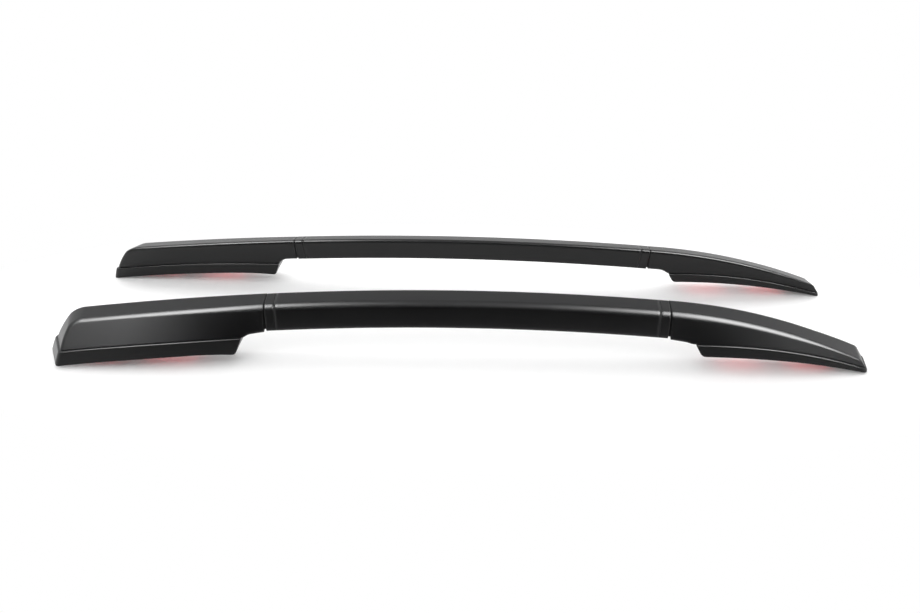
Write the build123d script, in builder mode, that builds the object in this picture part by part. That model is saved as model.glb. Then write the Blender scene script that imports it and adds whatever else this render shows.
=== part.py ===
import os
from math import asin, cos, degrees, radians, sin, sqrt, tan

from build123d import *

os.makedirs("parts", exist_ok=True)

# How the pair stands: two mirrored rails side by side, each on the tips of its feet
rail_length = 1283.5          # rear tip to nose tip
rail_spacing = 283.0          # between the standing lines of the two rails at mid length
toe_angle = 0.84               # each rail turns its nose towards the other
lean_angle = 15.0             # each rail leans inboard when it stands on a flat floor

# Arch of the rail, measured up its leaning walls
arch_radius = 4720.0
arch_peak_x = -3.2
crown_height = 97.8           # outboard top corner at the peak of the arch
sweep_lead = 12.0              # from the front seam to where the foot leaves the arch
sweep_radius = 870.0          # how it runs down to the nose

# Four-sided section of the tube
tube_width = 35.5
tube_height = 42.7
tube_outboard = 11.5          # outboard wall from the standing line
crown_slope = 24.8            # fall of the top and bottom faces towards the outboard wall
tube_wall = 2.2
crown_round = 10.5            # outboard top edge, all along the rail and down the rear end
ridge_round = 5.0             # inboard top edge
belly_round = 5.0             # both lower edges

# Joints between the tube and the feet
seam_gap = 1.5
band_length = 14.0            # part of the collar that shows
neck_reach = 24.0             # collar inside the foot's neck
tube_reach = 42.0             # collar inside the tube
spigot_wall = 3.0
slip_fit = 0.3                # room round a spigot
band_gap = 0.3                # fine line between the band and the tube

# Shells of the feet
foot_wall = 2.8
rear_flare = 26.0             # full spread of a foot's outboard wall
front_flare = 20.0
flare_run = 240.0             # length over which the spread grows from nothing at the seam
instep_angle = 35.0           # slope of the foot's inner end
instep_round = 15.0
skirt_proud = 2.4             # ledge of the sole's skirt beyond the cover
crease_gap = 0.3
lip_height = 6.0              # rim of the sole that stands inside the cover
lip_wall = 2.0
lip_gap = 0.8                 # between the lip's top and the cover
lip_heel_gap = 3.7            # between the lip and the instep, clear of the collar's spigot
sole_thickness = 3.2
toe_round = 6.0               # lower edge of the instep
tip_round = 6.0              # inboard corner of a sole at its tip

# Rear foot
rear_foot_length = 350.5      # tip to seam
rear_sole_length = 306.5
rear_sole_rise = 21.4         # the sole's inner end above the floor
rear_sole_bow = 5.2           # arch of the sole above its chord
rear_skirt_height = 21.5
end_sweep = 32.0              # the rear end runs forward towards the outboard side
end_lean = 26.0
end_radius = 200.0
end_shoulder = 40.0           # radius between the end and the top
end_lift = 2.5                # top of the rear end above the arch of the tube

# Front foot
front_foot_length = 307.0     # nose to seam
front_sole_length = 259.0
front_sole_rise = 24.4
front_sole_bow = 8.5
front_skirt_heel = 17.4       # skirt height at the foot's inner end
nose_flat = 10.0              # level end of the crease behind the nose tip
nose_height = 8.5             # crease above the floor at the front end of the cover
front_skirt_bow = 11.0         # rise of the crease above its chord
nose_rake = 44.0              # the nose's front leans back
nose_sweep = 20.0             # and runs back towards the outboard side
nose_rim = 1.2                # front of the sole ahead of the front of the cover
nose_solid = 50.0             # the cover is solid this far behind its front end
front_lip_end = 92.0          # the lip stops this far behind the nose

# Adhesive pads and their release liners
pad_length = 84.0
pad_width = 34.0
pad_thickness = 1.1
liner_thickness = 0.25
pad_pocket = 0.8              # depth of the flat pocket at the pad's middle
pad_edge_gap = 0.5
pad_round = 4.0
rear_pad_places = (84.0, 200.0)     # from the foot's tip
front_pad_places = (92.0, 194.0)

# Screws
screw_shank = 3.6
screw_head = 7.4
screw_head_height = 2.6
screw_length = 16.0
screw_recess = 3.2            # depth of the counterbore in the sole
screw_seat = 3.0              # sole left over the counterbore
screw_clearance = 0.4
thread_fit = 0.05
pilot_spare = 2.0             # pilot hole beyond the screw's end
boss_wall = 2.6
drive_width = 3.4             # six-sided drive in the head
drive_depth = 1.6
rear_screw_places = (142.0, 264.0)  # from the foot's tip
front_screw_places = (143.0, 244.0)
screw_spacing = 14.0          # between the two screws of a row
joint_screw_length = 8.0
spot_face = 0.4               # flat seat cut into the underside for a joint screw's head
joint_screw_inset = 12.0      # from the neck's end and from the tube's end

# Directions of the leaning rail: across runs inboard, upright runs up the walls
across = Vector(0, cos(radians(lean_angle)), -sin(radians(lean_angle)))
upright = Vector(0, sin(radians(lean_angle)), cos(radians(lean_angle)))
forward = Vector(1, 0, 0)
rear_tip_x = -rail_length / 2
nose_tip_x = rail_length / 2
rear_seam_x = rear_tip_x + rear_foot_length
front_seam_x = nose_tip_x - front_foot_length
sweep_start_x = front_seam_x + sweep_lead
crease_end_x = nose_tip_x - nose_flat
tube_inboard = tube_width - tube_outboard
crown_rise = tube_width * tan(radians(crown_slope))
arch_centre = forward * arch_peak_x + upright * (crown_height - arch_radius)
arch_axis = Axis(arch_centre, across)
cover_inset = skirt_proud     # each layer of a foot, from the outside of its skirt
hollow_inset = cover_inset + foot_wall
lip_inset = hollow_inset + lip_gap
post_height = screw_recess + screw_seat
deep = 1.3 * crown_height     # walls of a foot reach past its sole before they are trimmed
wide = 4 * tube_width         # trimming tools reach past both walls
end_spare = 1.5 * tube_height # a foot is drawn this far past its tip before it is trimmed
section_steps = 10            # spaces between the cross sections of a foot


def fall(radius, run):
    """Drop of an arc below its top after a run along it."""
    return radius - sqrt(radius**2 - run**2)


def crown(x):
    """Height of the outboard top corner, up the leaning wall."""
    if x <= sweep_start_x:
        share = max(rear_seam_x - x, 0) / rear_foot_length
        return crown_height - fall(arch_radius, x - arch_peak_x) + end_lift * share**2
    entry = sweep_radius * (sweep_start_x - arch_peak_x) / arch_radius
    drop = fall(sweep_radius, x - sweep_start_x + entry) - fall(sweep_radius, entry)
    return crown(sweep_start_x) - drop


def section_plane(x):
    """Upright cut across the leaning rail."""
    return Plane(origin=(x, 0, 0), x_dir=across, z_dir=forward)


def arch_angle(x):
    return asin((x - arch_peak_x) / arch_radius)


def arch_plane(x):
    """Cut square to the arch; its local height is measured from the arch's centre."""
    angle = arch_angle(x)
    tangent = forward * cos(angle) - upright * sin(angle)
    return Plane(origin=arch_centre, x_dir=across, z_dir=tangent)


def tube_section(x, inset):
    """Rounded four-sided outline of the tube, drawn inwards by inset."""
    top = arch_radius
    corners = {
        (-tube_outboard, top): crown_round,
        (tube_inboard, top + crown_rise): ridge_round,
        (tube_inboard, top + crown_rise - tube_height): belly_round,
        (-tube_outboard, top - tube_height): belly_round,
    }
    with BuildSketch(arch_plane(x)) as section:
        with BuildLine():
            Polyline(*corners, close=True)
        make_face()
        if inset > 0:
            offset(amount=-inset, kind=Kind.INTERSECTION, mode=Mode.REPLACE)
        for corner, radius in corners.items():
            vertex = section.vertices().sort_by_distance(corner)[0]
            fillet(vertex, radius=max(radius - inset, inset / 4))
    return section.sketch


def arch_bar(start_x, end_x, inset):
    """Arched bar with the tube's outline, between two upright cuts."""
    spare = tube_height
    first = start_x - spare
    last = end_x + spare
    turn = degrees(arch_angle(last) - arch_angle(first))
    with BuildPart() as bar:
        revolve(tube_section(first, inset), axis=arch_axis, revolution_arc=turn)
        split(bisect_by=Plane.YZ.offset(start_x), keep=Keep.TOP)
        split(bisect_by=Plane.YZ.offset(end_x), keep=Keep.BOTTOM)
    return bar.part


def belly_plane(x):
    """Plane on the middle of the tube's underside, facing down and out of it."""
    angle = arch_angle(x)
    radial = forward * sin(angle) + upright * cos(angle)
    tangent = forward * cos(angle) - upright * sin(angle)
    slope = radians(crown_slope)
    middle = (tube_inboard - tube_outboard) / 2
    reach = arch_radius - tube_height + (middle + tube_outboard) * tan(slope)
    origin = arch_centre + across * middle + radial * reach
    return Plane(origin=origin, x_dir=tangent, z_dir=across * sin(slope) - radial * cos(slope))


def corner(x, inboard, lowered):
    """Point on one of the tube's four edges, before it is rounded."""
    if inboard:
        return forward * x + across * tube_inboard + upright * (crown(x) + crown_rise - lowered)
    return forward * x - across * tube_outboard + upright * (crown(x) - lowered)


def flare(x):
    """Slope of a foot's outboard wall, which spreads more and more from the seam on."""
    full, seam_x = (rear_flare, rear_seam_x) if x <= rear_seam_x else (front_flare, front_seam_x)
    share = min(abs(x - seam_x) / flare_run, 1)
    return tan(radians(full * share * (2 - share)))


def cover_section(x, inset):
    """Sharp outline of a foot's cover: the tube's top with walls that run down past the sole."""
    top = crown(x)
    reach = tube_outboard + deep * flare(x)
    with BuildSketch(section_plane(x)) as section:
        with BuildLine():
            Polyline(
                (-tube_outboard, top),
                (tube_inboard, top + crown_rise),
                (tube_inboard, top - deep),
                (-reach, top - deep),
                close=True,
            )
        make_face()
        if inset > 0:
            offset(amount=-inset, kind=Kind.INTERSECTION, mode=Mode.REPLACE)
    return section.sketch


class ArchedLine:
    """Line of the side view between two points, bowed above its chord."""

    def __init__(self, start_x, start_z, end_x, end_z, bow):
        self.start_x, self.start_z = start_x, start_z
        self.end_x, self.end_z = end_x, end_z
        self.bow = bow

    def height(self, x):
        along = min(max((x - self.start_x) / (self.end_x - self.start_x), 0), 1)
        chord = self.start_z + (self.end_z - self.start_z) * along
        return chord + 4 * self.bow * along * (1 - along)

    def slope(self, x):
        step = 1.0
        return (self.height(x + step) - self.height(x - step)) / (2 * step)

    def below(self, lift):
        """Trimming tool that fills everything under the line, raised by lift."""
        middle_x = (self.start_x + self.end_x) / 2
        start = (self.start_x, self.start_z + lift)
        end = (self.end_x, self.end_z + lift)
        with BuildPart() as tool:
            with BuildSketch(Plane.XZ):
                with BuildLine():
                    ThreePointArc(start, (middle_x, self.height(middle_x) + lift), end)
                    Polyline(
                        end,
                        (self.end_x + wide, end[1]),
                        (self.end_x + wide, -2 * deep),
                        (self.start_x - wide, -2 * deep),
                        (self.start_x - wide, start[1]),
                        start,
                    )
                make_face()
            extrude(amount=wide, both=True)
        return tool.part


class Foot:
    """A foot's place on the rail and the lines that bound it in the side view."""

    def __init__(self, seam_x, tip_x, sole, crease, heel, pad_places, screw_places):
        self.seam_x = seam_x
        self.tip_x = tip_x
        self.inward = 1 if seam_x > tip_x else -1
        self.blunt = seam_x > tip_x
        self.sole = sole
        self.crease = crease
        self.heel = heel
        self.pad_places = pad_places
        self.screw_places = screw_places

    def along(self, distance):
        """Place along the rail at a distance from the foot's tip."""
        return self.tip_x + self.inward * distance

    def stations(self, last_x):
        """Places of the cross sections, evenly spaced from the seam to past the tip."""
        run = last_x - self.seam_x
        return [self.seam_x + run * step / section_steps for step in range(section_steps + 1)]

    def skirt_outboard(self, x):
        """Outboard wall of the sole, which stands just outside the cover at the crease."""
        lean = radians(lean_angle)
        drop = crown(x) - self.crease.height(x) / cos(lean)
        return (tube_outboard + drop * flare(x)) / (1 - flare(x) * tan(lean)) + skirt_proud

    def lip_outboard(self, x):
        """Outboard wall of the lip, whose top clears the flared wall of the cover."""
        lean = radians(lean_angle)
        wall = foot_wall * sqrt(1 + flare(x)**2)
        clear = wall + lip_gap + flare(x) * lip_height / cos(lean)
        return self.skirt_outboard(x) - skirt_proud - clear / (1 - flare(x) * tan(lean))

    def lip_hollow(self, x):
        """Inner side of the lip's outboard wall."""
        return self.lip_outboard(x) - lip_wall

    def sole_spot(self, x, sideways):
        """Point on the sole, sideways from its middle."""
        lean = radians(lean_angle)
        middle = (tube_inboard + skirt_proud - self.skirt_outboard(x)) / 2
        height = self.sole.height(x)
        return Vector(x, middle / cos(lean) + height * tan(lean) + sideways, height)

    def screw_spots(self):
        """Points on the sole below the screws: two in each row, in the middle of the leaning lip."""
        lean = radians(lean_angle)
        spots = []
        for place in self.screw_places:
            x = self.along(place)
            lip_top = self.crease.height(x) + lip_height - self.sole.height(x)
            uneven = self.skirt_outboard(x) - self.lip_outboard(x) - lip_inset
            middle = (post_height + lip_top) * tan(lean) / 2 + uneven / 2 / cos(lean)
            spots.append(self.sole_spot(x, middle - screw_spacing / 2))
            spots.append(self.sole_spot(x, middle + screw_spacing / 2))
        return spots

    def tape_plane(self, place):
        """Plane that touches the middle of the sole at a tape pad, facing up."""
        spot = self.sole_spot(self.along(place), 0)
        slope = self.sole.slope(spot.X)
        return Plane(origin=spot, x_dir=(1, 0, slope), z_dir=(-slope, 0, 1))


rear_foot = Foot(
    seam_x=rear_seam_x,
    tip_x=rear_tip_x,
    sole=ArchedLine(
        rear_tip_x, 0, rear_tip_x + rear_sole_length, rear_sole_rise, rear_sole_bow
    ),
    crease=ArchedLine(
        rear_tip_x,
        rear_skirt_height,
        rear_tip_x + rear_sole_length,
        rear_sole_rise + rear_skirt_height,
        rear_sole_bow,
    ),
    heel=rear_tip_x + rear_sole_length,
    pad_places=rear_pad_places,
    screw_places=rear_screw_places,
)
front_foot = Foot(
    seam_x=front_seam_x,
    tip_x=nose_tip_x,
    sole=ArchedLine(
        nose_tip_x - front_sole_length, front_sole_rise, nose_tip_x, 0, front_sole_bow
    ),
    crease=ArchedLine(
        nose_tip_x - front_sole_length,
        front_sole_rise + front_skirt_heel,
        crease_end_x,
        nose_height,
        front_skirt_bow,
    ),
    heel=nose_tip_x - front_sole_length,
    pad_places=front_pad_places,
    screw_places=front_screw_places,
)


def cover_block(foot, inset):
    """Whole form of a foot's cover with its walls drawn down past the sole."""
    places = foot.stations(foot.along(-end_spare))
    with BuildPart() as block:
        loft([cover_section(x, inset) for x in places])
    return block.part


def skirt_block(foot, outboard, inset):
    """Block along the sole's walls: its outboard line is given, its inboard one drawn in by inset."""
    inboard = tube_inboard + skirt_proud - inset
    end_x = foot.along(-end_spare)
    wall = [(x, -outboard(x)) for x in foot.stations(end_x)]
    with BuildPart() as block:
        with BuildSketch(Plane(origin=upright * -tube_height, x_dir=forward, z_dir=upright)):
            with BuildLine():
                side = Spline(*wall)
                Polyline(side @ 1, (end_x, inboard), (foot.seam_x, inboard), side @ 0)
            make_face()
        extrude(amount=tube_height + deep)
    return block.part


def neck_room(foot, inset, lift=0):
    """Room under the neck of a foot, beside its sloping instep; lift raises its ceiling."""
    slope = tan(radians(crown_slope))
    top = arch_radius - tube_height + inset / cos(radians(crown_slope)) + lift
    lean = radians(instep_angle)
    normal = forward * foot.inward * cos(lean) - Vector(0, 0, sin(lean))
    heel = Vector(foot.heel, 0, foot.sole.height(foot.heel))
    ends = (foot.seam_x + foot.inward * tube_width, foot.heel - foot.inward * tube_width)
    turn = degrees(arch_angle(max(ends)) - arch_angle(min(ends)))
    with BuildPart() as room:
        with BuildSketch(arch_plane(min(ends))):
            with BuildLine():
                Polyline(
                    (-wide, top + (tube_outboard - wide) * slope),
                    (wide, top + (tube_outboard + wide) * slope),
                    (wide, top - 2 * wide),
                    (-wide, top - 2 * wide),
                    close=True,
                )
            make_face()
        revolve(axis=arch_axis, revolution_arc=turn)
        split(bisect_by=Plane(origin=heel - normal * inset, z_dir=normal), keep=Keep.TOP)
        instep = room.faces().sort_by(Axis(heel, normal))[0]
        fillet(instep.edges().sort_by(Axis.Z)[-1], radius=instep_round + inset)
    return room.part


def corner_reach(sweep):
    """How far the corner of a swept end would reach past its rounded tip."""
    return tip_round * (1 / tan(radians(90 - sweep) / 2) - 1)


def rear_end(inset):
    """Everything behind the blunt rear end, which leans and bends forward as it rises."""
    skirt_inboard = tube_inboard + skirt_proud
    lean = radians(end_lean)
    corner_x = rear_tip_x - corner_reach(end_sweep)
    start = Vector(corner_x, skirt_inboard * tan(radians(lean_angle)))
    start += Vector(cos(lean), -sin(lean)) * inset
    rise = Vector(sin(lean), cos(lean))
    sweep = tan(radians(end_sweep))
    with BuildPart() as room:
        with BuildSketch(Plane(origin=across * skirt_inboard, x_dir=forward, z_dir=-across)):
            with BuildLine():
                root = Line(start - rise * 2 * deep, start)
                back = JernArc(start, rise, end_radius - inset, end_lean - 90)
                Polyline(
                    back @ 1,
                    ((back @ 1).X, (back @ 1).Y + wide),
                    (rear_tip_x - wide, (back @ 1).Y + wide),
                    (rear_tip_x - wide, (root @ 0).Y),
                    root @ 0,
                )
            make_face()
        extrude(amount=wide, dir=forward * sweep - across, both=True)
    return room.part


def front_end(inset):
    """Everything ahead of the nose's front, which leans back and runs back to the outboard side."""
    skirt_inboard = tube_inboard + skirt_proud
    corner_x = nose_tip_x + corner_reach(nose_sweep)
    tip = forward * corner_x + across * skirt_inboard
    tip += upright * (skirt_inboard * tan(radians(lean_angle)))
    normal = forward + upright * tan(radians(nose_rake)) - across * tan(radians(nose_sweep))
    with BuildPart() as room:
        with BuildSketch(Plane(origin=tip, z_dir=normal).offset(-inset)):
            Rectangle(4 * wide, 4 * wide)
        extrude(amount=wide)
    return room.part


def ahead_of(x):
    """Everything in front of an upright cut."""
    with BuildPart() as room:
        with BuildSketch(Plane.YZ.offset(x)):
            Rectangle(4 * wide, 4 * wide)
        extrude(amount=2 * wide)
    return room.part


def joint_bore(x, radius):
    """Bore from below into the rail, square to its underside, with a flat seat for the head."""
    seat = belly_plane(x).offset(-spot_face)
    with BuildPart() as bore:
        with BuildSketch(seat):
            Circle(screw_head / 2 + screw_clearance)
        extrude(amount=screw_head_height)
        with BuildSketch(seat):
            Circle(radius)
        extrude(amount=-joint_screw_length - pilot_spare)
    return bore.part


def joint_screw_spots(foot):
    """Places along the rail of the screws that hold a foot and the tube on their collar."""
    tube_end = foot.seam_x + foot.inward * (seam_gap + band_length + band_gap)
    return (
        foot.seam_x - foot.inward * joint_screw_inset,
        tube_end + foot.inward * joint_screw_inset,
    )


def rail_tube():
    """Arched extruded tube, open at both ends."""
    end_inset = seam_gap + band_length + band_gap
    start_x = rear_seam_x + end_inset
    end_x = front_seam_x - end_inset
    with BuildPart() as tube:
        add(arch_bar(start_x, end_x, 0))
        add(arch_bar(start_x - tube_wall, end_x + tube_wall, tube_wall), mode=Mode.SUBTRACT)
        for foot in (rear_foot, front_foot):
            bore = joint_bore(joint_screw_spots(foot)[1], screw_shank / 2 + screw_clearance)
            add(bore, mode=Mode.SUBTRACT)
    return tube.part


def joint_collar(foot):
    """Moulded insert: a band that shows, with a hollow spigot on each side of it."""
    neck_x = foot.seam_x - foot.inward * neck_reach
    band_x = foot.seam_x + foot.inward * seam_gap
    shoulder_x = band_x + foot.inward * band_length
    tube_x = shoulder_x + foot.inward * (band_gap + tube_reach)
    bore_inset = max(foot_wall, tube_wall) + slip_fit + spigot_wall
    with BuildPart() as collar:
        add(arch_bar(min(neck_x, band_x), max(neck_x, band_x), foot_wall + slip_fit))
        add(arch_bar(min(band_x, shoulder_x), max(band_x, shoulder_x), 0))
        add(arch_bar(min(shoulder_x, tube_x), max(shoulder_x, tube_x), tube_wall + slip_fit))
        ends = (neck_x - foot.inward * band_length, tube_x + foot.inward * band_length)
        add(arch_bar(min(ends), max(ends), bore_inset), mode=Mode.SUBTRACT)
        for x in joint_screw_spots(foot):
            add(joint_bore(x, screw_shank / 2 + thread_fit), mode=Mode.SUBTRACT)
    return collar.part


def foot_cover(foot, end, hollow_end):
    """Moulded shell of a foot with its neck, open below, and posts for the screws of its sole."""
    neck_middle = foot.seam_x - foot.inward * neck_reach / 2
    with BuildPart() as hollow:
        add(cover_block(foot, foot_wall))
        add(neck_room(foot, foot_wall), mode=Mode.SUBTRACT)
        add(hollow_end, mode=Mode.SUBTRACT)
        for spot in foot.screw_spots():
            with Locations(spot + Vector(0, 0, post_height + crease_gap)):
                Cylinder(
                    screw_shank / 2 + boss_wall,
                    deep,
                    align=(Align.CENTER, Align.CENTER, Align.MIN),
                    mode=Mode.SUBTRACT,
                )
    with BuildPart() as cover:
        add(cover_block(foot, 0))
        add(neck_room(foot, 0), mode=Mode.SUBTRACT)
        if foot.blunt:
            add(end, mode=Mode.SUBTRACT)
            add(foot.crease.below(crease_gap), mode=Mode.SUBTRACT)
            end_face = cover.faces().sort_by(Axis.X)[0]
            fillet(end_face.edges().sort_by(Axis.Z)[-1], radius=end_shoulder)
        for inboard, lowered, radius in (
            (False, 0, crown_round),
            (True, 0, ridge_round),
            (False, tube_height, belly_round),
            (True, tube_height, belly_round),
        ):
            edge = cover.edges().sort_by_distance(corner(neck_middle, inboard, lowered))[0]
            fillet(edge, radius=radius)
        if not foot.blunt:
            add(end, mode=Mode.SUBTRACT)
            add(foot.crease.below(crease_gap), mode=Mode.SUBTRACT)
        add(hollow.part, mode=Mode.SUBTRACT)
        for spot in foot.screw_spots():
            with Locations(spot):
                Cylinder(
                    screw_shank / 2 + thread_fit,
                    screw_recess + screw_length + pilot_spare,
                    align=(Align.CENTER, Align.CENTER, Align.MIN),
                    mode=Mode.SUBTRACT,
                )
        bore = joint_bore(joint_screw_spots(foot)[0], screw_shank / 2 + screw_clearance)
        add(bore, mode=Mode.SUBTRACT)
    return cover.part


def foot_base(foot, end, lip_end, hollow_end):
    """Moulded sole with its skirt, a lip that stands inside the cover, and pockets for the tape."""
    heel = (foot.heel, 0, foot.sole.height(foot.heel))
    with BuildPart() as lip:
        add(skirt_block(foot, foot.lip_outboard, lip_inset))
        add(foot.crease.below(lip_height), mode=Mode.INTERSECT)
        add(neck_room(foot, foot_wall + lip_heel_gap), mode=Mode.SUBTRACT)
        add(lip_end, mode=Mode.SUBTRACT)
    with BuildPart() as hollow:
        add(skirt_block(foot, foot.lip_hollow, lip_inset + lip_wall))
        add(foot.sole.below(sole_thickness), mode=Mode.SUBTRACT)
        add(neck_room(foot, foot_wall + lip_heel_gap + lip_wall), mode=Mode.SUBTRACT)
        add(hollow_end, mode=Mode.SUBTRACT)
        for spot in foot.screw_spots():
            with Locations(spot):
                Cylinder(
                    screw_head / 2 + screw_clearance + boss_wall,
                    post_height,
                    align=(Align.CENTER, Align.CENTER, Align.MIN),
                    mode=Mode.SUBTRACT,
                )
    with BuildPart() as base:
        add(skirt_block(foot, foot.skirt_outboard, 0))
        add(end, mode=Mode.SUBTRACT)
        for side, radius in ((0, crown_round + skirt_proud), (-1, tip_round)):
            tip = base.faces().sort_by(Axis.X)[0 if foot.blunt else -1]
            fillet(tip.edges().sort_by(Axis((0, 0, 0), across))[side], radius=radius)
        add(foot.crease.below(0), mode=Mode.INTERSECT)
        add(lip.part)
        add(neck_room(foot, 0, instep_round), mode=Mode.SUBTRACT)
        add(foot.sole.below(0), mode=Mode.SUBTRACT)
        fillet(base.edges().sort_by_distance(heel)[0], radius=toe_round)
        add(hollow.part, mode=Mode.SUBTRACT)
        for place in foot.pad_places:
            with BuildSketch(foot.tape_plane(place).offset(pad_pocket)):
                RectangleRounded(
                    pad_length + 2 * pad_edge_gap,
                    pad_width + 2 * pad_edge_gap,
                    pad_round + pad_edge_gap,
                )
            extrude(amount=-pad_pocket - sole_thickness, mode=Mode.SUBTRACT)
        for spot in foot.screw_spots():
            with Locations(Location(spot - Vector(0, 0, screw_recess), (180, 0, 0))):
                CounterBoreHole(
                    radius=screw_shank / 2 + screw_clearance,
                    counter_bore_radius=screw_head / 2 + screw_clearance,
                    counter_bore_depth=2 * screw_recess,
                )
    return base.part


def tape_layer(foot, height, thickness):
    """Flat layer of each tape pad of a foot, hanging from a height above the sole's line."""
    with BuildPart() as layer:
        for place in foot.pad_places:
            with BuildSketch(foot.tape_plane(place).offset(height)):
                RectangleRounded(pad_length, pad_width, pad_round)
            extrude(amount=-thickness)
    return layer.part


def base_screws(foot):
    """Pan-head screws that hold the sole to the cover, with their heads in counterbores."""
    with BuildPart() as screws:
        for spot in foot.screw_spots():
            seat = Plane(spot + Vector(0, 0, screw_recess))
            with BuildSketch(seat):
                Circle(screw_head / 2)
            extrude(amount=-screw_head_height)
            with BuildSketch(seat):
                Circle(screw_shank / 2)
            extrude(amount=screw_length)
            with BuildSketch(seat.offset(-screw_head_height)):
                RegularPolygon(drive_width / 2, 6, major_radius=False)
            extrude(amount=drive_depth, mode=Mode.SUBTRACT)
    return screws.part


def joint_screws(foot):
    """Screws from below through the neck and through the tube into the collar's spigots."""
    with BuildPart() as screws:
        for x in joint_screw_spots(foot):
            seat = belly_plane(x).offset(-spot_face)
            with BuildSketch(seat):
                Circle(screw_head / 2)
            extrude(amount=screw_head_height)
            with BuildSketch(seat):
                Circle(screw_shank / 2)
            extrude(amount=-joint_screw_length)
            with BuildSketch(seat.offset(screw_head_height)):
                RegularPolygon(drive_width / 2, 6, major_radius=False)
            extrude(amount=-drive_depth, mode=Mode.SUBTRACT)
    return screws.part


pieces = {
    "rail_tube": rail_tube(),
    "rear_joint_collar": joint_collar(rear_foot),
    "front_joint_collar": joint_collar(front_foot),
    "rear_foot_cover": foot_cover(rear_foot, rear_end(cover_inset), rear_end(hollow_inset)),
    "front_foot_cover": foot_cover(
        front_foot, front_end(nose_rim), ahead_of(crease_end_x - nose_solid)
    ),
    "rear_foot_base": foot_base(
        rear_foot, rear_end(0), rear_end(lip_inset), rear_end(lip_inset + lip_wall)
    ),
    "front_foot_base": foot_base(
        front_foot,
        front_end(0),
        ahead_of(nose_tip_x - front_lip_end),
        ahead_of(crease_end_x - nose_solid),
    ),
    "rear_tape_pads": tape_layer(rear_foot, pad_pocket, pad_thickness),
    "front_tape_pads": tape_layer(front_foot, pad_pocket, pad_thickness),
    "rear_tape_liners": tape_layer(rear_foot, pad_pocket - pad_thickness, liner_thickness),
    "front_tape_liners": tape_layer(front_foot, pad_pocket - pad_thickness, liner_thickness),
    "rear_base_screws": base_screws(rear_foot),
    "front_base_screws": base_screws(front_foot),
    "rear_joint_screws": joint_screws(rear_foot),
    "front_joint_screws": joint_screws(front_foot),
}

# The right-hand rail stands to one side with its nose turned in, and the left-hand rail mirrors it
for name, piece in pieces.items():
    with BuildPart() as right:
        with Locations((0, -rail_spacing / 2, 0)):
            add(piece, rotation=(0, 0, toe_angle))
    right.part.label = f"right_{name}"
    export_step(right.part, f"parts/right_{name}.step")

    with BuildPart() as left:
        mirror(right.part, about=Plane.XZ)
    left.part.label = f"left_{name}"
    export_step(left.part, f"parts/left_{name}.step")
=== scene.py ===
from math import asin, cos, pi, radians, sin, tan
import bmesh
import bpy
import numpy as np
from mathutils import Matrix


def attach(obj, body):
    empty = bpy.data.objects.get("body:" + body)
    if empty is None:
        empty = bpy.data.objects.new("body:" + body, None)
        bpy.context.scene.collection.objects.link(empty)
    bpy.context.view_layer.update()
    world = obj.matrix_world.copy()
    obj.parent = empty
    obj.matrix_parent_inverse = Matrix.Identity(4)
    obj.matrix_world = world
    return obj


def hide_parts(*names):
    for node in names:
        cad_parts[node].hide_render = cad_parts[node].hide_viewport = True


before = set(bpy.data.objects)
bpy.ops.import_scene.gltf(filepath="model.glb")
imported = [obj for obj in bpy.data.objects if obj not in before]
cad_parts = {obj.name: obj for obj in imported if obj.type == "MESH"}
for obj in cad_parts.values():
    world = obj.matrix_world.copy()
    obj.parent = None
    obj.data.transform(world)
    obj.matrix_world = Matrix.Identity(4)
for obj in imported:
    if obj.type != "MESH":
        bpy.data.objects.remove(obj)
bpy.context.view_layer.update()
collection = bpy.context.scene.collection

# Rail tube
# Aluminium extrusion with a slanted four-sided section, bent to a shallow arch and
# powder coated satin black. Each end slides over the spigot of a joint collar.
rail_spacing = 0.283
toe_angle = radians(0.84)
lean_angle = radians(15)
arch_radius = 4.72
arch_peak_x = -0.0032
crown_height = 0.0978
tube_outboard = 0.0115
tube_inboard = 0.024
tube_height = 0.0427
tube_wall = 0.0022
tube_ends = (-0.27545, 0.31895)
crown_slope = radians(24.8)
crown_rise = (tube_outboard + tube_inboard) * tan(crown_slope)
crown_round = 0.0145
ridge_round = 0.005
least_round = 0.001
arc_steps_per_radian = 960
fewest_arc_steps = 9
corner_steps = 18
weld_distance = 0.000001
paint_black = (0.004, 0.004, 0.0043)
satin_rough = 0.29

right_rail = (
    Matrix.Translation((0, -rail_spacing / 2, 0))
    @ Matrix.Rotation(toe_angle, 4, "Z")
    @ Matrix.Rotation(-lean_angle, 4, "X")
)
rails = {"right": right_rail, "left": Matrix.Scale(-1, 4, (0, 1, 0)) @ right_rail}
arc_onto_rail = Matrix((
    (1, 0, 0, arch_peak_x),
    (0, 0, -1, 0),
    (0, 1, 0, crown_height - arch_radius),
    (0, 0, 0, 1),
))


class Socket:
    """Output of a node with arithmetic: each operator adds one Math node."""

    def __init__(self, graph, output):
        self.graph = graph
        self.output = output

    def math(self, operation, first, second):
        return self.graph.node("ShaderNodeMath", {"operation": operation}, {0: first, 1: second})

    def __add__(self, other):
        return self.math("ADD", self, other)

    def __sub__(self, other):
        return self.math("SUBTRACT", self, other)

    def __rsub__(self, other):
        return self.math("SUBTRACT", other, self)

    def __mul__(self, other):
        return self.math("MULTIPLY", self, other)

    __radd__ = __add__
    __rmul__ = __mul__


class Graph:
    """Node tree whose nodes are added one call at a time."""

    def __init__(self, tree):
        self.tree = tree
        self.tree.nodes.clear()

    def node(self, kind, settings, sockets, output=0):
        """New node; a list gives several links to one socket."""
        node = self.tree.nodes.new(kind)
        for name, value in settings.items():
            setattr(node, name, value)
        for name, value in sockets.items():
            for item in value if isinstance(value, list) else [value]:
                if isinstance(item, Socket):
                    self.tree.links.new(item.output, node.inputs[name])
                else:
                    node.inputs[name].default_value = item
        return Socket(self, node.outputs[output]) if len(node.outputs) else None


def new_finish(name):
    material = bpy.data.materials.new(name)
    material.use_nodes = True
    return material, Graph(material.node_tree)


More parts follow.
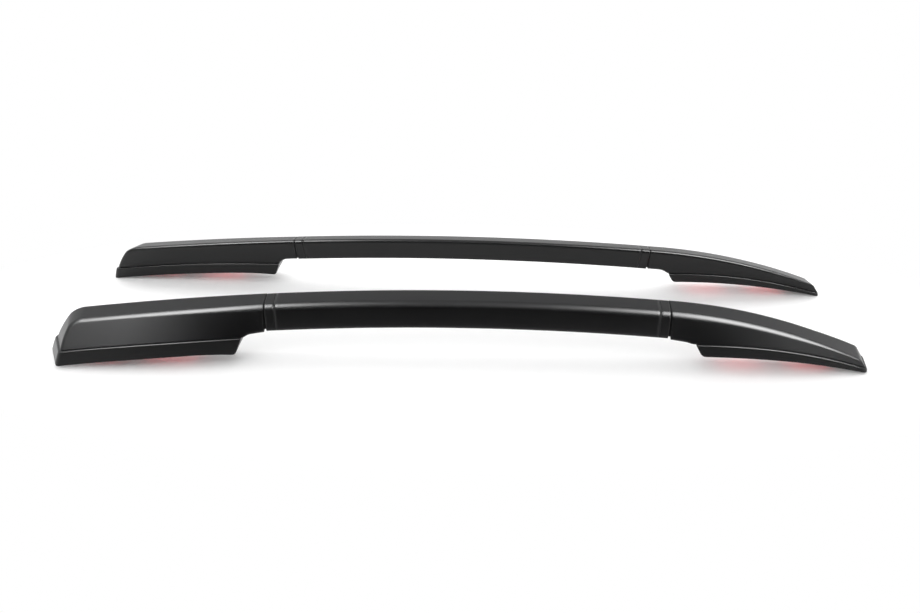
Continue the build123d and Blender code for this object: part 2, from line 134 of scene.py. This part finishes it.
def grained_finish(name, colour, rough, grain, depth, metal=0.0):
    """Faint cloudy shade and sheen over a fine grain, with edges that catch the light."""
    cloud_scale, cloud_detail, grain_detail = 9, 3, 2
    shade_spread, rough_spread = 0.15, 0.06
    edge_radius, edge_samples = 0.0016, 6
    grain_strength, specular = 0.2, 0.31
    first_colour, second_colour, mixed_colour = 6, 7, 2
    material, graph = new_finish(name)
    place = graph.node("ShaderNodeTexCoord", {}, {}, "Object")
    cloud = graph.node(
        "ShaderNodeTexNoise",
        {},
        {"Vector": place, "Scale": cloud_scale, "Detail": cloud_detail},
    )
    speckle = graph.node(
        "ShaderNodeTexNoise",
        {},
        {"Vector": place, "Scale": 1 / grain, "Detail": grain_detail},
    )
    darker = (*[(1 - shade_spread) * part for part in colour], 1)
    lighter = (*[(1 + shade_spread) * part for part in colour], 1)
    shade = graph.node(
        "ShaderNodeMix",
        {"data_type": "RGBA"},
        {"Factor": cloud, first_colour: darker, second_colour: lighter},
        mixed_colour,
    )
    edge = graph.node("ShaderNodeBevel", {"samples": edge_samples}, {"Radius": edge_radius})
    relief = graph.node(
        "ShaderNodeBump",
        {},
        {"Height": speckle, "Strength": grain_strength, "Distance": depth, "Normal": edge},
    )
    shader = graph.node(
        "ShaderNodeBsdfPrincipled",
        {},
        {
            "Base Color": shade,
            "Roughness": rough - rough_spread / 2 + rough_spread * cloud,
            "Normal": relief,
            "Specular IOR Level": specular,
            "Metallic": metal,
        },
    )
    graph.node("ShaderNodeOutputMaterial", {}, {"Surface": shader})
    return material


paint = grained_finish("satin_paint", paint_black, satin_rough, grain=0.0009, depth=0.00003)

sweep = bpy.data.node_groups.new("arched_tube", "GeometryNodeTree")
sweep.interface.new_socket("Geometry", in_out="OUTPUT", socket_type="NodeSocketGeometry")
input_kinds = {
    "Steps": "NodeSocketInt",
    "Start Angle": "NodeSocketFloat",
    "Sweep Angle": "NodeSocketFloat",
    "Crown Round": "NodeSocketFloat",
    "Edge Round": "NodeSocketFloat",
    "Wall": "NodeSocketFloat",
    "Crown": "NodeSocketVector",
    "Ridge": "NodeSocketVector",
    "Inner Belly": "NodeSocketVector",
    "Outer Belly": "NodeSocketVector",
}
identifiers = {}
for name, kind in input_kinds.items():
    socket = sweep.interface.new_socket(name, in_out="INPUT", socket_type=kind)
    identifiers[name] = socket.identifier
graph = Graph(sweep)
given = {name: graph.node("NodeGroupInput", {}, {}, name) for name in input_kinds}
arc = graph.node(
    "GeometryNodeCurveArc",
    {"mode": "RADIUS"},
    {
        "Resolution": given["Steps"],
        "Radius": arch_radius,
        "Start Angle": given["Start Angle"],
        "Sweep Angle": given["Sweep Angle"],
    },
)
outline = graph.node(
    "GeometryNodeCurvePrimitiveQuadrilateral",
    {"mode": "POINTS"},
    {
        "Point 1": given["Crown"],
        "Point 2": given["Ridge"],
        "Point 3": given["Inner Belly"],
        "Point 4": given["Outer Belly"],
    },
)
corner = graph.node("GeometryNodeInputIndex", {}, {})
at_crown = graph.node("ShaderNodeMath", {"operation": "LESS_THAN"}, {0: corner, 1: 0.5})
rounding = given["Edge Round"] + at_crown * (given["Crown Round"] - given["Edge Round"])
section = graph.node(
    "GeometryNodeFilletCurve",
    {"mode": "POLY"},
    {"Curve": outline, "Count": corner_steps, "Radius": rounding},
)
skin = graph.node("GeometryNodeCurveToMesh", {}, {"Curve": arc, "Profile Curve": section})
bore = graph.node(
    "GeometryNodeExtrudeMesh",
    {},
    {"Mesh": skin, "Offset Scale": -1 * given["Wall"], "Individual": False},
)
bore = graph.node("GeometryNodeFlipFaces", {}, {"Mesh": bore})
both = graph.node("GeometryNodeJoinGeometry", {}, {0: [skin, bore]})
closed = graph.node(
    "GeometryNodeMergeByDistance", {}, {"Geometry": both, "Distance": weld_distance}
)
smooth = graph.node("GeometryNodeSetShadeSmooth", {}, {"Geometry": closed})
real = graph.node("GeometryNodeRealizeInstances", {}, {"Geometry": smooth})
painted = graph.node("GeometryNodeSetMaterial", {}, {"Geometry": real, "Material": paint})
graph.node("NodeGroupOutput", {}, {"Geometry": painted})


def evaluated_mesh(carrier):
    """Plain mesh of an object with its modifiers, which are then removed."""
    bpy.context.view_layer.update()
    depsgraph = bpy.context.evaluated_depsgraph_get()
    mesh = bpy.data.meshes.new_from_object(carrier.evaluated_get(depsgraph))
    carrier.modifiers.clear()
    return mesh


def arched_bar(start_x, end_x, inset, wall):
    """Arched bar with the tube's outline drawn in by inset, between two places on the rail."""
    first = asin((start_x - arch_peak_x) / arch_radius)
    last = asin((end_x - arch_peak_x) / arch_radius)
    outer, inner = inset - tube_outboard, tube_inboard - inset
    outer_rise = (outer + tube_outboard) * tan(crown_slope)
    inner_rise = (inner + tube_outboard) * tan(crown_slope)
    slant_inset = inset / cos(crown_slope)
    belly = slant_inset - tube_height
    settings = {
        "Steps": max(fewest_arc_steps, round(arc_steps_per_radian * (last - first))),
        "Start Angle": pi / 2 - last,
        "Sweep Angle": last - first,
        "Crown Round": crown_round - inset,
        "Edge Round": max(ridge_round - inset, least_round),
        "Wall": wall,
        "Crown": (outer_rise - slant_inset, outer, 0),
        "Ridge": (inner_rise - slant_inset, inner, 0),
        "Inner Belly": (inner_rise + belly, inner, 0),
        "Outer Belly": (outer_rise + belly, outer, 0),
    }
    carrier = bpy.data.objects.new("bar", bpy.data.meshes.new("bar"))
    collection.objects.link(carrier)
    modifier = carrier.modifiers.new("arched_tube", "NODES")
    modifier.node_group = sweep
    for name, number in settings.items():
        modifier[identifiers[name]] = number
    mesh = evaluated_mesh(carrier)
    bpy.data.objects.remove(carrier)
    return mesh


def new_piece(mesh, place, node, material):
    """Piece in its place on a rail, its faces outward."""
    mesh = mesh.copy()
    mesh.transform(place)
    if place.determinant() < 0:
        mesh.flip_normals()
    mesh.materials.clear()
    mesh.materials.append(material)
    piece = bpy.data.objects.new(node + "_skin", mesh)
    collection.objects.link(piece)
    return piece


def stand_in(piece, node):
    """Puts a finished piece in the place of the plain solid."""
    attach(piece, "root")
    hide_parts(node)


tube = arched_bar(*tube_ends, 0, tube_wall)
for side, rail in rails.items():
    node = f"{side}_rail_tube"
    stand_in(new_piece(tube, rail @ arc_onto_rail, node, paint), node)

# Joint collars
# Moulded plastic insert at each end of the tube: a narrow band that shows at the joint,
# with a hollow spigot each side, one pushed into the foot's neck and one into the tube.
rail_length = 1.2835
rear_tip, nose_tip = -rail_length / 2, rail_length / 2
rear_foot_length = 0.3505
front_foot_length = 0.307
rear_seam = rear_tip + rear_foot_length
front_seam = nose_tip - front_foot_length
seam_gap = 0.0015
band_length = 0.014
band_gap = 0.0003
neck_reach = 0.024
neck_inset = 0.0031
tube_reach = 0.042
tube_inset = 0.0025
collar_bore_inset = 0.0058
moulded_black = (0.0044, 0.0044, 0.0047)
collar_plastic = grained_finish(
    "collar_black", moulded_black, satin_rough, grain=0.0007, depth=0.00003
)
for end, seam, way in (("rear", rear_seam, 1), ("front", front_seam, -1)):
    band = seam + way * seam_gap
    shoulder = band + way * band_length
    spans = (
        (seam - way * neck_reach, band, neck_inset),
        (band, shoulder, 0),
        (shoulder, shoulder + way * (band_gap + tube_reach), tube_inset),
    )
    whole = bmesh.new()
    for start, stop, inset in spans:
        wall = collar_bore_inset - inset
        whole.from_mesh(arched_bar(min(start, stop), max(start, stop), inset, wall))
    collar = bpy.data.meshes.new(end + "_collar")
    whole.to_mesh(collar)
    whole.free()
    for side, rail in rails.items():
        node = f"{side}_{end}_joint_collar"
        piece = new_piece(collar, rail @ arc_onto_rail, node, collar_plastic)
        stand_in(piece, node)

# Foot covers
# Injection-moulded shells in satin black plastic. A neck carries on the tube's section,
# the outboard wall flares towards a blunt rear end or a long swept nose, and each cover
# slides onto the collar's spigot and closes down on its sole.
sweep_delay = 0.012
sweep_start = front_seam + sweep_delay
sweep_radius = 0.87
end_lift = 0.0025
skirt_proud = 0.0024
rear_sole_length = 0.3065
front_sole_length = 0.259
nose_crease_gap = 0.01
foot_plastic = grained_finish(
    "moulded_plastic", moulded_black, satin_rough, grain=0.0006, depth=0.00004
)


def fall(radius, run):
    """Drop of an arc below its top after a run."""
    return radius - np.sqrt(radius**2 - run**2)


def crown(x):
    """Height of the crown line along the rail: the arch, then the nose's tighter sweep."""
    height = crown_height - fall(arch_radius, np.minimum(x, sweep_start) - arch_peak_x)
    height += end_lift * (np.maximum(rear_seam - x, 0) / (rear_seam - rear_tip)) ** 2
    entry = sweep_radius * (sweep_start - arch_peak_x) / arch_radius
    run = np.maximum(x - sweep_start, 0)
    return height - fall(sweep_radius, run + entry) + fall(sweep_radius, entry)


def rounded(first, second, size):
    """Distance outside the meeting of two walls, rounded off over a given size."""
    inner = np.minimum(-size, np.maximum(first, second))
    return inner + np.hypot(np.maximum(size + first, 0), np.maximum(size + second, 0))


def bowed(line, x):
    """Height of a line along the foot that is bowed above its chord."""
    start_x, start_z, stop_x, stop_z, bow = line
    part = np.clip((x - start_x) / (stop_x - start_x), 0, 1)
    return start_z + (stop_z - start_z) * part + 4 * bow * part * (1 - part)


def upright(u, w):
    """Height of a point in the leaning section."""
    return w * cos(lean_angle) - u * sin(lean_angle)


class Cover:
    """Foot cover, as the distance of any point outside its walls. A point is given by x
    along the rail, u across the leaning section and w up it."""

    inboard_side = tube_inboard + skirt_proud
    flare_run = 0.24
    heel_run = 0.07
    corner_round = 0.006
    crease_gap = 0.0003
    least_height = 0.001
    crown_share, ridge_share = 0.8, 0.4
    instep_round = 0.011
    belly_round = 0.0045
    lip_round = 0.0005
    seam_round = 0.0008

    def __init__(self, seam, tip, full_flare, sole, crease, instep, droop, ledge, shoulder):
        self.seam, self.tip = seam, tip
        self.inward = 1 if seam > tip else -1
        self.full_flare = full_flare
        self.sole, self.crease = sole, crease
        self.heel, heel_height = sole[:2] if self.inward < 0 else sole[2:4]
        self.heel_height = heel_height - droop
        self.instep, self.droop = instep, droop
        self.ledge, self.shoulder = ledge, shoulder

    def stations(self):
        """Places of the rings, close together at the seam, in the neck and at the end."""
        seam_steps = [0, 0.00005, 0.0002, 0.0004, 0.0008]
        neck_run, end_run, spare = 0.06, 0.085, 0.004
        neck_step, middle_step, end_step = 0.001, 0.004, 0.0008
        length = abs(self.tip - self.seam)
        steps = np.concatenate([
            seam_steps,
            np.arange(2 * neck_step, neck_run, neck_step),
            np.arange(neck_run, length - end_run, middle_step),
            np.arange(length - end_run, length + spare, end_step),
        ])
        return self.seam - self.inward * steps

    def sole_height(self, x):
        """Height of the sole, which droops a little towards the heel."""
        part = np.clip(1 - self.inward * (self.heel - x) / self.heel_run, 0, 1)
        return bowed(self.sole, x) - self.droop * part**2

    def flare(self, x):
        """Slope of the outboard wall, which grows from the seam on."""
        part = np.clip(self.inward * (self.seam - x) / self.flare_run, 0, 1)
        return np.tan(self.full_flare * part * (2 - part))

    def corner_reach(self):
        """Length that the rounded inboard corner takes off the swept end."""
        return self.corner_round * (1 / tan((pi / 2 - self.sweep) / 2) - 1)

    def under_neck(self, x, z):
        """Distance into the room on the neck's side of the sloping instep."""
        run, rise = self.inward * (x - self.heel), z - self.heel_height
        return run * cos(self.instep) - rise * sin(self.instep)

    def distance(self, x, u, w):
        slope, peak = self.flare(x), crown(x)
        low = bowed(self.crease, x) + self.crease_gap
        z = upright(u, w)
        height = np.maximum(peak * cos(lean_angle) - low, self.least_height)
        crown_size = np.minimum(crown_round, self.crown_share * height)
        crown_size = crown_size * (1 - np.sin(crown_slope + np.arctan(slope)))
        ridge_size = np.minimum(ridge_round, self.ridge_share * height)
        ridge_size = ridge_size * (1 + sin(crown_slope))
        top = (w - peak - (u + tube_outboard) * tan(crown_slope)) * cos(crown_slope)
        outer = (-u - tube_outboard - (peak - w) * slope) / np.sqrt(1 + slope**2)
        roof = rounded(top, self.end(x, u, w) + self.ledge, self.shoulder)
        body = rounded(rounded(roof, outer, crown_size), u - tube_inboard, ridge_size)
        below = -top - tube_height * cos(crown_slope)
        neck = -rounded(-below, -self.under_neck(x, z), self.instep_round)
        body = rounded(body, neck, self.belly_round)
        body = rounded(body, low - z, self.lip_round)
        return rounded(body, self.inward * (x - self.seam), self.seam_round)

    def corners(self, x):
        """Sharp corners of the section: outboard foot, crown, ridge, inboard foot."""
        slope, peak = self.flare(x), crown(x)
        low = bowed(self.crease, x) + self.crease_gap
        lean_sin, lean_cos, rise = sin(lean_angle), cos(lean_angle), tan(crown_slope)
        outer_w = low - lean_sin * (tube_outboard + peak * slope)
        outer_w = outer_w / (lean_cos - slope * lean_sin)
        inner_w = (low + tube_inboard * lean_sin) / lean_cos
        if self.under_neck(x, low) > 0:
            belly = peak - tube_height
            outer_w = max(outer_w, (belly - peak * slope * rise) / (1 - slope * rise))
            inner_w = max(inner_w, belly + crown_rise)
        return np.array([
            (-tube_outboard - (peak - outer_w) * slope, outer_w),
            (-tube_outboard, peak),
            (tube_inboard, peak + crown_rise),
            (tube_inboard, inner_w),
        ])


class RearCover(Cover):
    """Rear cover, with a blunt end that leans, curls over at the top and is swept across."""

    end_lean = radians(17)
    curl_radius = 0.17
    sweep = radians(32)
    sweep_scale = 0.86
    deep_inside = -0.05

    def end(self, x, u, w):
        x = x - (self.inboard_side - u) * tan(self.sweep) - (self.tip - self.corner_reach())
        w = w - self.inboard_side * tan(lean_angle)
        across = x * cos(self.end_lean) - w * sin(self.end_lean) - self.curl_radius
        along = x * sin(self.end_lean) + w * cos(self.end_lean)
        curl = np.hypot(across, along) - self.curl_radius
        curl = np.where(x > self.curl_radius * cos(self.end_lean), self.deep_inside, curl)
        return self.sweep_scale * np.where(along > 0, curl, -across - self.curl_radius)


class FrontCover(Cover):
    """Front cover, with a nose cut off by a flat face that is raked and swept across."""

    rake = radians(32)
    sweep = radians(20)
    nose_reach = 0.004

    def end(self, x, u, w):
        back, across = tan(self.rake), tan(self.sweep)
        out = x - self.tip - self.corner_reach() - self.nose_reach
        out = out + (w - self.inboard_side * tan(lean_angle)) * back
        out = out - (u - self.inboard_side) * across
        return out / (1 + back**2 + across**2) ** 0.5


covers = {
    "rear": RearCover(
        seam=rear_seam,
        tip=rear_tip,
        full_flare=radians(26),
        sole=(rear_tip, 0.0, rear_tip + rear_sole_length, 0.0214, 0.0052),
        crease=(rear_tip, 0.0215, rear_tip + rear_sole_length, 0.0429, 0.0052),
        instep=radians(22),
        droop=0.003,
        ledge=0.0022,
        shoulder=0.009,
    ),
    "front": FrontCover(
        seam=front_seam,
        tip=nose_tip,
        full_flare=radians(20),
        sole=(nose_tip - front_sole_length, 0.0244, nose_tip, 0.0, 0.0085),
        crease=(
            nose_tip - front_sole_length, 0.0418, nose_tip - nose_crease_gap, 0.0085, 0.011
        ),
        instep=radians(31),
        droop=0.0,
        ledge=0.0014,
        shoulder=0.002,
    ),
}


def foot_skin(name, shape, cover):
    """Closed skin of rings along the foot, each found on rays from inside its section."""
    side_points = (44, 56, 40, 30)
    seed_count, seed_end = 80, 0.985
    longest_ray, halvings, least_depth = 0.16, 36, 0.00003
    shares = [(1 - np.cos(pi * np.arange(n) / n)) / 2 for n in side_points]
    rings = []
    for x in cover.stations():
        corners = shape.corners(x)
        middle = corners.mean(0)
        seeds = middle + (corners[3] - middle) * np.linspace(0, seed_end, seed_count)[:, None]
        depth = shape.distance(x, seeds[:, 0], seeds[:, 1])
        if depth.min() > -least_depth:
            continue
        seed_u, seed_w = seeds[depth.argmin()]
        turn = np.unwrap(np.arctan2(corners[:, 1] - seed_w, corners[:, 0] - seed_u))
        turn = np.append(turn, turn[0] - 2 * pi)
        turn = np.concatenate([
            turn[k] + (turn[k + 1] - turn[k]) * share for k, share in enumerate(shares)
        ])
        ray_u, ray_w = np.cos(turn), np.sin(turn)
        near, far = np.zeros(len(turn)), np.full(len(turn), longest_ray)
        for _ in range(halvings):
            trial = (near + far) / 2
            inside = shape.distance(x, seed_u + trial * ray_u, seed_w + trial * ray_w) < 0
            near, far = np.where(inside, trial, near), np.where(inside, far, trial)
        ring = [np.full(len(turn), x), seed_u + near * ray_u, seed_w + near * ray_w]
        rings.append(np.stack(ring, 1))
    count = len(rings[0])
    points = np.concatenate(rings + [rings[0].mean(0)[None], rings[-1].mean(0)[None]])
    start_pole, end_pole = len(points) - 2, len(points) - 1
    last = (len(rings) - 1) * count
    faces = []
    for i in range(count):
        j = (i + 1) % count
        for row in range(0, last, count):
            faces.append((row + i, row + j, row + count + j, row + count + i))
        faces.append((start_pole, j, i))
        faces.append((end_pole, last + i, last + j))
    mesh = bpy.data.meshes.new(name)
    mesh.from_pydata(points.tolist(), [], faces)
    if cover.inward < 0:
        mesh.flip_normals()
    mesh.shade_smooth()
    return mesh


for end, cover in covers.items():
    mesh = foot_skin(end + "_cover", cover, cover)
    for side, rail in rails.items():
        node = f"{side}_{end}_foot_cover"
        stand_in(new_piece(mesh, rail, node, foot_plastic), node)

# Foot bases
# Injection-moulded soles in the same black plastic, each with a skirt that stands a little
# proud of the cover below the crease. Screws in round recesses underneath pull the sole up
# against the cover.
recess_radius = 0.0043
recess_sides = 32
screw_head_height = 0.0026
drill_length = 0.0126
screw_span = 0.008
sharp_angle = radians(50)


class Sole:
    """Foot base, as the distance of any point outside its walls."""

    sole_round = 0.0045
    edge_round = 0.001
    crease_round = 0.0012

    def __init__(self, cover, tip_round, outboard_round, inboard_round):
        self.cover = cover
        self.tip_round = tip_round
        self.outboard_round, self.inboard_round = outboard_round, inboard_round

    def outboard_side(self, x):
        drop = crown(x) - bowed(self.cover.crease, x) / cos(lean_angle)
        slope = self.cover.flare(x)
        return (tube_outboard + drop * slope) / (1 - slope * tan(lean_angle)) + skirt_proud

    def distance(self, x, u, w):
        z = upright(u, w)
        low = self.cover.sole_height(x) - z
        end = self.cover.end(x, u, w)
        under = rounded(low, self.cover.under_neck(x, z), self.sole_round)
        body = rounded(-u - self.outboard_side(x), end, self.outboard_round)
        body = rounded(body, u - self.cover.inboard_side, self.inboard_round)
        body = rounded(body, under, self.edge_round)
        body = np.maximum(body, rounded(end, low, self.tip_round))
        return rounded(body, z - bowed(self.cover.crease, x), self.crease_round)

    def corners(self, x):
        """Sharp corners of the section, from the outboard lower one round."""
        cover = self.cover
        high = bowed(cover.crease, x)
        instep = cover.heel_height + cover.inward * (x - cover.heel) / tan(cover.instep)
        low = min(max(cover.sole_height(x), instep), high)
        outer, inner = -self.outboard_side(x), cover.inboard_side
        return np.array([
            (u, (z + u * sin(lean_angle)) / cos(lean_angle))
            for u, z in ((outer, low), (outer, high), (inner, high), (inner, low))
        ])


def cut_recesses(base, screws):
    """Cuts a round recess in the sole at the head of each screw."""
    heads = []
    for vertex in screws.data.vertices:
        point = screws.matrix_world @ vertex.co
        for head in heads:
            if (head[0].xy - point.xy).length < screw_span:
                head.append(point)
                break
        else:
            heads.append([point])
    drill = bmesh.new()
    for head in heads:
        low, high = np.min(head, 0), np.max(head, 0)
        middle = (low + high) / 2
        drill_z = low[2] + screw_head_height - drill_length / 2
        bmesh.ops.create_cone(
            drill,
            cap_ends=True,
            segments=recess_sides,
            radius1=recess_radius,
            radius2=recess_radius,
            depth=drill_length,
            matrix=Matrix.Translation((middle[0], middle[1], drill_z)),
        )
    cutter = bpy.data.objects.new("drill", bpy.data.meshes.new("drill"))
    drill.to_mesh(cutter.data)
    drill.free()
    collection.objects.link(cutter)
    cut = base.modifiers.new("recesses", "BOOLEAN")
    cut.object, cut.operation, cut.solver = cutter, "DIFFERENCE", "EXACT"
    base.data = evaluated_mesh(base)
    base.data.shade_smooth()
    base.data.set_sharp_from_angle(angle=sharp_angle)
    bpy.data.objects.remove(cutter)


soles = {
    "rear": Sole(
        covers["rear"], tip_round=0.0035, outboard_round=0.0055, inboard_round=0.0094
    ),
    "front": Sole(
        covers["front"], tip_round=0.006, outboard_round=0.009, inboard_round=0.0078
    ),
}
for end, sole in soles.items():
    mesh = foot_skin(end + "_base", sole, covers[end])
    for side, rail in rails.items():
        node = f"{side}_{end}_foot_base"
        base = new_piece(mesh, rail, node, foot_plastic)
        cut_recesses(base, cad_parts[f"{side}_{end}_base_screws"])
        stand_in(base, node)

# Tape pads
# Strips of dark closed-cell foam with glue on both faces, cut to length and pressed into
# the sole of each foot. They hold the rail on the roof.
foam_grey = (0.03, 0.03, 0.03)
foam = grained_finish("closed_foam", foam_grey, rough=0.8, grain=0.0008, depth=0.0002)


def coat_solids(kind, material):
    """Gives the solids of one kind at all four feet their finish."""
    for side in rails:
        for end in covers:
            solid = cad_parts[f"{side}_{end}_{kind}"]
            solid.data.materials.clear()
            solid.data.materials.append(material)


coat_solids("tape_pads", foam)

# Tape liners
# Thin red release film on the glue of each pad, peeled off when the rail is fitted. Its
# red shows as a glow on the floor under the feet.
film_red = (0.8, 0.012, 0.035)
film = grained_finish("liner_film", film_red, rough=0.4, grain=0.004, depth=0.00006)
coat_solids("tape_liners", film)

# Screws
# Zinc-plated steel screws, driven from below: four hold each sole up to its cover, and
# two at each joint go through neck and tube into the collar's spigots.
zinc_grey = (0.45, 0.45, 0.46)
steel = grained_finish(
    "zinc_steel", zinc_grey, rough=0.38, grain=0.0006, depth=0.00004, metal=1.0
)
coat_solids("base_screws", steel)
coat_solids("joint_screws", steel)

# Floor
# Wide sheet of white paper that the pair stands on. It keeps the soft shadows and the red
# glow close to the rails, and fades to plain white further out.
floor_side, floor_front, floor_back = 7, -4, 7
floor_white = (0.92, 0.92, 0.92, 1)
plain_white = (1, 1, 1, 1)
fade_shape = (0.95, 2.2, 0)
fade_start, fade_end = 0.6, 0.9
paper_lift = 0.09


def sheet(name, corners, material):
    """Flat sheet of the studio."""
    mesh = bpy.data.meshes.new(name)
    mesh.from_pydata(corners, [], [list(range(len(corners)))])
    mesh.materials.append(material)
    card = bpy.data.objects.new(name, mesh)
    collection.objects.link(card)
    return card


def soft_step(graph, value, start, stop, height=1.0):
    """Smooth rise from 0 at start to a height at stop."""
    return graph.node(
        "ShaderNodeMapRange",
        {"interpolation_type": "SMOOTHSTEP"},
        {"Value": value, "From Min": start, "From Max": stop, "To Max": height},
    )


paper, graph = new_finish("white_floor")
place = graph.node("ShaderNodeTexCoord", {}, {}, "Object")
stretched = graph.node(
    "ShaderNodeVectorMath", {"operation": "MULTIPLY"}, {0: place, 1: fade_shape}
)
far_out = graph.node("ShaderNodeVectorMath", {"operation": "LENGTH"}, {0: stretched}, "Value")
fade = soft_step(graph, far_out, fade_start, fade_end)
seen = graph.node("ShaderNodeLightPath", {}, {}, "Is Camera Ray")
mirrored = graph.node("ShaderNodeLightPath", {}, {}, "Is Glossy Ray")
through = graph.node("ShaderNodeLightPath", {}, {}, "Is Transmission Ray")
lit = graph.node("ShaderNodeBsdfDiffuse", {}, {"Color": floor_white})
lift = graph.node(
    "ShaderNodeEmission", {}, {"Color": plain_white, "Strength": paper_lift * seen}
)
near_paper = graph.node("ShaderNodeAddShader", {}, {0: lit, 1: lift})
far_paper = graph.node("ShaderNodeEmission", {}, {"Color": plain_white, "Strength": 1.0})
shader = graph.node(
    "ShaderNodeMixShader",
    {},
    {0: fade * (seen + mirrored + through), 1: near_paper, 2: far_paper},
)
graph.node("ShaderNodeOutputMaterial", {}, {"Surface": shader})
sheet(
    "floor",
    [
        (-floor_side, floor_front, 0),
        (floor_side, floor_front, 0),
        (floor_side, floor_back, 0),
        (-floor_side, floor_back, 0),
    ],
    paper,
)

# Dark cards
# Black cards in front of the pair, one standing and one lying on the floor, that keep the
# near sides of the rails dark. Towards their ends they give off a faint glow that shows in those
# sides.
card_side, card_front = 3, -1.7
standing_height = 1.3
lying_back, lying_height = -0.72, 0.002
glow_start, glow_end, end_glow_strength = 0.5, 1.3, 0.5
card_black, graph = new_finish("black_card")
place = graph.node("ShaderNodeTexCoord", {}, {}, "Object")
along = graph.node("ShaderNodeSeparateXYZ", {}, {0: place}, "X")
off_middle = graph.node("ShaderNodeMath", {"operation": "ABSOLUTE"}, {0: along})
# Emission, not colour: none in the middle, rising to a faint glow at the card ends.
end_glow = soft_step(graph, off_middle, glow_start, glow_end, end_glow_strength)
shader = graph.node("ShaderNodeEmission", {}, {"Color": plain_white, "Strength": end_glow})
graph.node("ShaderNodeOutputMaterial", {}, {"Surface": shader})
standing_card = sheet(
    "front_card",
    [
        (-card_side, card_front, 0),
        (card_side, card_front, 0),
        (card_side, card_front, standing_height),
        (-card_side, card_front, standing_height),
    ],
    card_black,
)
lying_card = sheet(
    "floor_card",
    [
        (-card_side, card_front, lying_height),
        (card_side, card_front, lying_height),
        (card_side, lying_back, lying_height),
        (-card_side, lying_back, lying_height),
    ],
    card_black,
)
for card in (standing_card, lying_card):
    card.visible_camera = False

# Studio light
# Even white light all round, twice as bright for matt surfaces, and two soft strips high
# over the ends of the pair that show only as the sheen along the crowns of the feet.
matt_gain = 1.0
strip_strength = 35
strip_height = 1.6
strip_start, strip_full = 0.45, 1.0
strip_front, strip_front_full = -1.45, -0.75
strip_back, strip_back_full = 0.3, -0.3
strip_spans = {"left_strip": (-0.45, -1.6, -1.0), "right_strip": (0.45, 2.2, -1.45)}
studio = bpy.data.worlds.new("studio")
bpy.context.scene.world = studio
studio.use_nodes = True
graph = Graph(studio.node_tree)
matt = graph.node("ShaderNodeLightPath", {}, {}, "Is Diffuse Ray")
tent = graph.node(
    "ShaderNodeBackground", {}, {"Color": plain_white, "Strength": 1 + matt_gain * matt}
)
graph.node("ShaderNodeOutputWorld", {}, {"Surface": tent})

strip_glow, graph = new_finish("strip_glow")
mirrored = graph.node("ShaderNodeLightPath", {}, {}, "Is Glossy Ray")
place = graph.node("ShaderNodeTexCoord", {}, {}, "Object")
along = graph.node("ShaderNodeSeparateXYZ", {}, {0: place}, "X")
across = graph.node("ShaderNodeSeparateXYZ", {}, {0: place}, "Y")
off_middle = graph.node("ShaderNodeMath", {"operation": "ABSOLUTE"}, {0: along})
rise = soft_step(graph, off_middle, strip_start, strip_full)
front_edge = soft_step(graph, across, strip_front, strip_front_full)
back_edge = soft_step(graph, across, strip_back, strip_back_full)
shader = graph.node(
    "ShaderNodeEmission",
    {},
    {
        "Color": plain_white,
        "Strength": strip_strength * mirrored * rise * front_edge * back_edge,
    },
)
graph.node("ShaderNodeOutputMaterial", {}, {"Surface": shader})
strip_glow.cycles.emission_sampling = "NONE"
for name, (near, far, front) in strip_spans.items():
    strip = sheet(
        name,
        [
            (near, front, strip_height),
            (far, front, strip_height),
            (far, strip_back, strip_height),
            (near, strip_back, strip_height),
        ],
        strip_glow,
    )
    strip.visible_camera = False

# Camera
# Stands in front of the pair and above it, looks down on it and is turned a little to
# the left, so that the near sides, the crowns and both ends show.
film_width = 36
focal_pixels, image_width = 855.3, 920
tilt_down = radians(28.779)
turn_left = radians(2.358)
lens = bpy.data.cameras.new("camera")
lens.sensor_width = film_width
lens.lens = focal_pixels / image_width * film_width
lens.clip_start = 0.01
camera = bpy.data.objects.new("camera", lens)
collection.objects.link(camera)
camera.location = (0.05867, -1.27061, 0.72102)
camera.rotation_euler = (pi / 2 - tilt_down, 0, turn_left)
bpy.context.scene.camera = camera
bpy.context.scene.view_settings.view_transform = "Standard"
